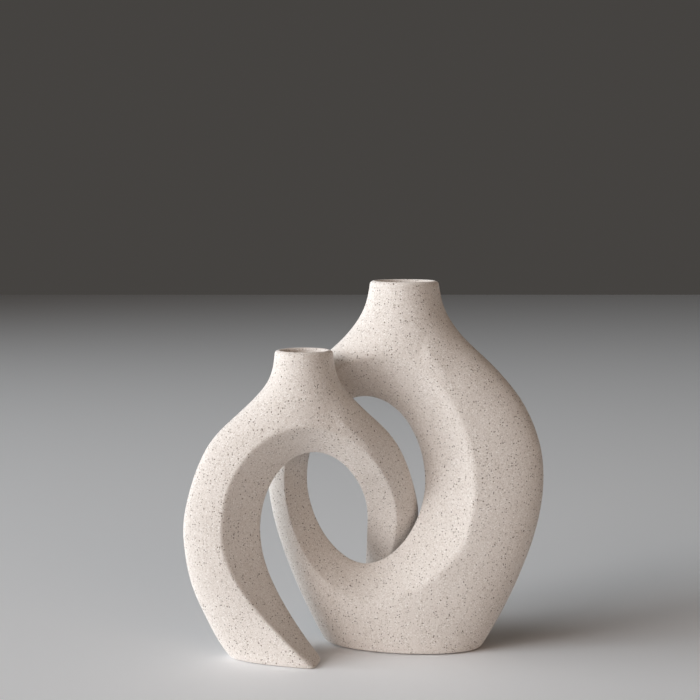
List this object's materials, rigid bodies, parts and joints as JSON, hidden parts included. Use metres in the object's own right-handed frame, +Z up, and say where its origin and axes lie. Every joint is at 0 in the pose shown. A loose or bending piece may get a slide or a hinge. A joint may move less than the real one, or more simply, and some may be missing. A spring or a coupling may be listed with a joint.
{
  "type": "interlocking ring vases",
  "caption": "Interlocking hollow ring vases in matte speckled stoneware: a tall closed ring, and a small open ring whose arm reaches through it.",
  "frame": {"origin": "centre of the tall vase's flat base, on the surface that both vases stand on", "axes": "+Z up along the tall vase's neck, +X to the right as the pair is seen from the front, +Y to the back"},
  "size_m": [0.2406, 0.1025, 0.25],
  "materials": {
    "stoneware_tall": "matte cream with fine dark speckles and a sandy grain",
    "stoneware_small": "matte cream with fine dark speckles and a sandy grain"
  },
  "bodies": {
    "large_vase": {"large_vase": "stoneware_tall"},
    "small_vase": {"small_vase": "stoneware_small"}
  },
  "joints": [
    {"name": "small_vase_lift", "type": "slide", "parent": "large_vase", "child": "small_vase", "axis": [0, -0.6, 0.8], "range_m": [0, 0.15]}
  ]
}
